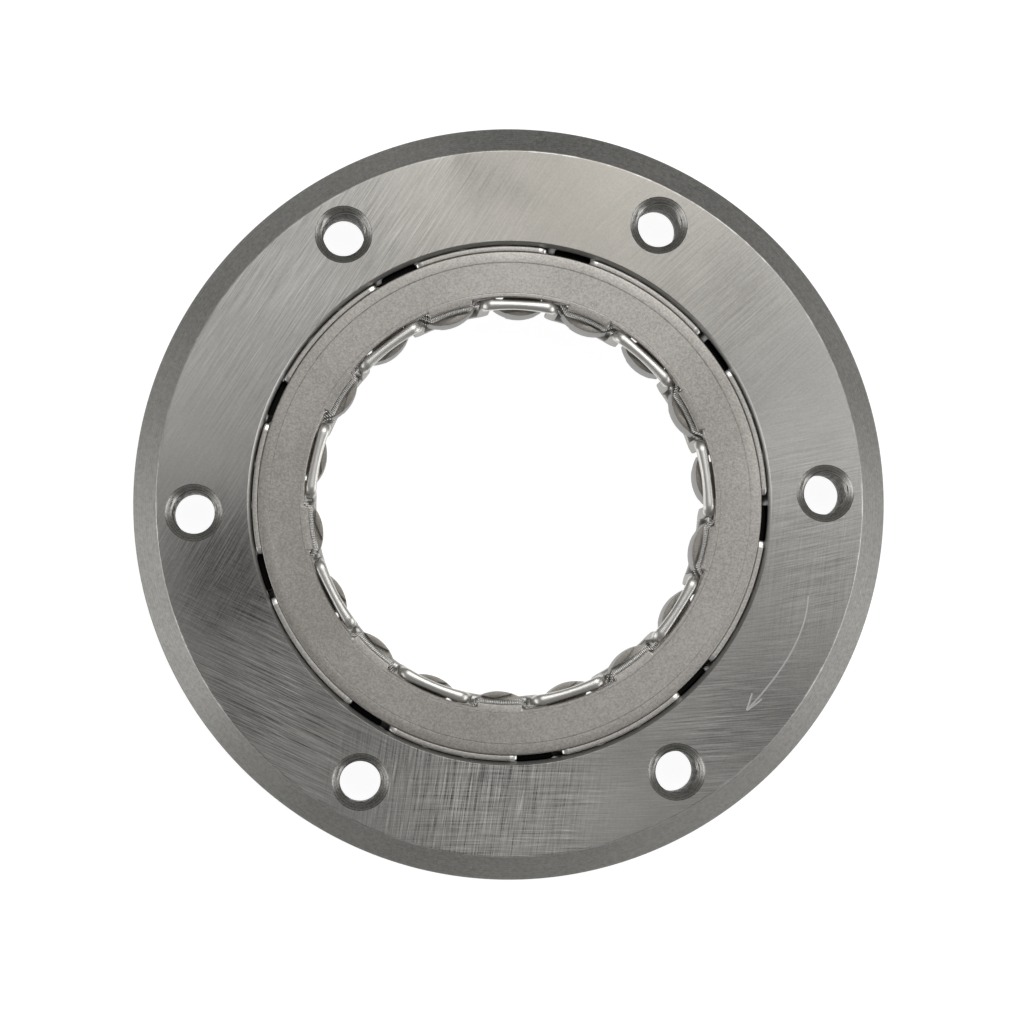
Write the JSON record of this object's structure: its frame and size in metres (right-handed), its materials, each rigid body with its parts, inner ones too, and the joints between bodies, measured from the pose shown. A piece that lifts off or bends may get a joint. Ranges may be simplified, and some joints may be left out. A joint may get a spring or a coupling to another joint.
{
  "type": "sprag clutch",
  "caption": "One-way sprag clutch: a bolt-on steel ring race with a drawn outer cage, a meander inner cage, garter springs and rocking sprags around an open centre.",
  "frame": {"origin": "centre of the ring's back mounting face, on the clutch axis", "axes": "+Z along the clutch axis, out of the marked front face; +X close to one of the six bolt holes"},
  "size_m": [0.0908, 0.0908, 0.012],
  "materials": {
    "ring_steel": "ground hardened steel",
    "cage_steel": "matt drawn steel strip",
    "band_steel": "polished pressed steel",
    "spring_steel": "bright spring wire",
    "sprag_steel": "hardened steel with polished cams"
  },
  "bodies": {
    "ring": {"clutch_outer": "ring_steel"},
    "cage_unit": {"outer_cage": "cage_steel"},
    "phasing_band": {"inner_cage": "band_steel", "front_garter_spring": "spring_steel", "back_garter_spring": "spring_steel"},
    "sprag_01_body": {"sprag_01": "sprag_steel"},
    "sprag_02_body": {"sprag_02": "sprag_steel"},
    "sprag_03_body": {"sprag_03": "sprag_steel"},
    "sprag_04_body": {"sprag_04": "sprag_steel"},
    "sprag_05_body": {"sprag_05": "sprag_steel"},
    "sprag_06_body": {"sprag_06": "sprag_steel"},
    "sprag_07_body": {"sprag_07": "sprag_steel"},
    "sprag_08_body": {"sprag_08": "sprag_steel"},
    "sprag_09_body": {"sprag_09": "sprag_steel"},
    "sprag_10_body": {"sprag_10": "sprag_steel"},
    "sprag_11_body": {"sprag_11": "sprag_steel"},
    "sprag_12_body": {"sprag_12": "sprag_steel"},
    "sprag_13_body": {"sprag_13": "sprag_steel"},
    "sprag_14_body": {"sprag_14": "sprag_steel"},
    "sprag_15_body": {"sprag_15": "sprag_steel"},
    "sprag_16_body": {"sprag_16": "sprag_steel"},
    "sprag_17_body": {"sprag_17": "sprag_steel"},
    "sprag_18_body": {"sprag_18": "sprag_steel"}
  },
  "joints": [
    {"name": "cage_turn", "type": "hinge", "parent": "ring", "child": "cage_unit", "pos_m": [0, 0, 0], "axis": [0, 0, 1], "continuous": true},
    {"name": "phasing_shift", "type": "hinge", "parent": "cage_unit", "child": "phasing_band", "pos_m": [0, 0, 0], "axis": [0, 0, 1], "range_deg": [0, 1.25], "stiffness_Nm_per_rad": 0.5, "springref_deg": -11.46},
    {"name": "sprag_01_tilt", "type": "hinge", "parent": "cage_unit", "child": "sprag_01_body", "pos_m": [0.02677, 0.00265, 0.0061], "axis": [0, 0, 1], "range_deg": [-9.25, 0]},
    {"name": "sprag_02_tilt", "type": "hinge", "parent": "cage_unit", "child": "sprag_02_body", "pos_m": [0.02425, 0.01164, 0.0061], "axis": [0, 0, 1], "range_deg": [-9.25, 0]},
    {"name": "sprag_03_tilt", "type": "hinge", "parent": "cage_unit", "child": "sprag_03_body", "pos_m": [0.01881, 0.01923, 0.0061], "axis": [0, 0, 1], "range_deg": [-9.25, 0]},
    {"name": "sprag_04_tilt", "type": "hinge", "parent": "cage_unit", "child": "sprag_04_body", "pos_m": [0.01109, 0.02451, 0.0061], "axis": [0, 0, 1], "range_deg": [-9.25, 0]},
    {"name": "sprag_05_tilt", "type": "hinge", "parent": "cage_unit", "child": "sprag_05_body", "pos_m": [0.00204, 0.02682, 0.0061], "axis": [0, 0, 1], "range_deg": [-9.25, 0]},
    {"name": "sprag_06_tilt", "type": "hinge", "parent": "cage_unit", "child": "sprag_06_body", "pos_m": [-0.00725, 0.0259, 0.0061], "axis": [0, 0, 1], "range_deg": [-9.25, 0]},
    {"name": "sprag_07_tilt", "type": "hinge", "parent": "cage_unit", "child": "sprag_07_body", "pos_m": [-0.01568, 0.02186, 0.0061], "axis": [0, 0, 1], "range_deg": [-9.25, 0]},
    {"name": "sprag_08_tilt", "type": "hinge", "parent": "cage_unit", "child": "sprag_08_body", "pos_m": [-0.02221, 0.01518, 0.0061], "axis": [0, 0, 1], "range_deg": [-9.25, 0]},
    {"name": "sprag_09_tilt", "type": "hinge", "parent": "cage_unit", "child": "sprag_09_body", "pos_m": [-0.02606, 0.00667, 0.0061], "axis": [0, 0, 1], "range_deg": [-9.25, 0]},
    {"name": "sprag_10_tilt", "type": "hinge", "parent": "cage_unit", "child": "sprag_10_body", "pos_m": [-0.02677, -0.00265, 0.0061], "axis": [0, 0, 1], "range_deg": [-9.25, 0]},
    {"name": "sprag_11_tilt", "type": "hinge", "parent": "cage_unit", "child": "sprag_11_body", "pos_m": [-0.02425, -0.01164, 0.0061], "axis": [0, 0, 1], "range_deg": [-9.25, 0]},
    {"name": "sprag_12_tilt", "type": "hinge", "parent": "cage_unit", "child": "sprag_12_body", "pos_m": [-0.01881, -0.01923, 0.0061], "axis": [0, 0, 1], "range_deg": [-9.25, 0]},
    {"name": "sprag_13_tilt", "type": "hinge", "parent": "cage_unit", "child": "sprag_13_body", "pos_m": [-0.01109, -0.02451, 0.0061], "axis": [0, 0, 1], "range_deg": [-9.25, 0]},
    {"name": "sprag_14_tilt", "type": "hinge", "parent": "cage_unit", "child": "sprag_14_body", "pos_m": [-0.00204, -0.02682, 0.0061], "axis": [0, 0, 1], "range_deg": [-9.25, 0]},
    {"name": "sprag_15_tilt", "type": "hinge", "parent": "cage_unit", "child": "sprag_15_body", "pos_m": [0.00725, -0.0259, 0.0061], "axis": [0, 0, 1], "range_deg": [-9.25, 0]},
    {"name": "sprag_16_tilt", "type": "hinge", "parent": "cage_unit", "child": "sprag_16_body", "pos_m": [0.01568, -0.02186, 0.0061], "axis": [0, 0, 1], "range_deg": [-9.25, 0]},
    {"name": "sprag_17_tilt", "type": "hinge", "parent": "cage_unit", "child": "sprag_17_body", "pos_m": [0.02221, -0.01518, 0.0061], "axis": [0, 0, 1], "range_deg": [-9.25, 0]},
    {"name": "sprag_18_tilt", "type": "hinge", "parent": "cage_unit", "child": "sprag_18_body", "pos_m": [0.02606, -0.00667, 0.0061], "axis": [0, 0, 1], "range_deg": [-9.25, 0]}
  ],
  "couplings": [
    {"joint": "sprag_01_tilt", "follows": "phasing_shift", "ratio": -7.4},
    {"joint": "sprag_02_tilt", "follows": "phasing_shift", "ratio": -7.4},
    {"joint": "sprag_03_tilt", "follows": "phasing_shift", "ratio": -7.4},
    {"joint": "sprag_04_tilt", "follows": "phasing_shift", "ratio": -7.4},
    {"joint": "sprag_05_tilt", "follows": "phasing_shift", "ratio": -7.4},
    {"joint": "sprag_06_tilt", "follows": "phasing_shift", "ratio": -7.4},
    {"joint": "sprag_07_tilt", "follows": "phasing_shift", "ratio": -7.4},
    {"joint": "sprag_08_tilt", "follows": "phasing_shift", "ratio": -7.4},
    {"joint": "sprag_09_tilt", "follows": "phasing_shift", "ratio": -7.4},
    {"joint": "sprag_10_tilt", "follows": "phasing_shift", "ratio": -7.4},
    {"joint": "sprag_11_tilt", "follows": "phasing_shift", "ratio": -7.4},
    {"joint": "sprag_12_tilt", "follows": "phasing_shift", "ratio": -7.4},
    {"joint": "sprag_13_tilt", "follows": "phasing_shift", "ratio": -7.4},
    {"joint": "sprag_14_tilt", "follows": "phasing_shift", "ratio": -7.4},
    {"joint": "sprag_15_tilt", "follows": "phasing_shift", "ratio": -7.4},
    {"joint": "sprag_16_tilt", "follows": "phasing_shift", "ratio": -7.4},
    {"joint": "sprag_17_tilt", "follows": "phasing_shift", "ratio": -7.4},
    {"joint": "sprag_18_tilt", "follows": "phasing_shift", "ratio": -7.4}
  ]
}
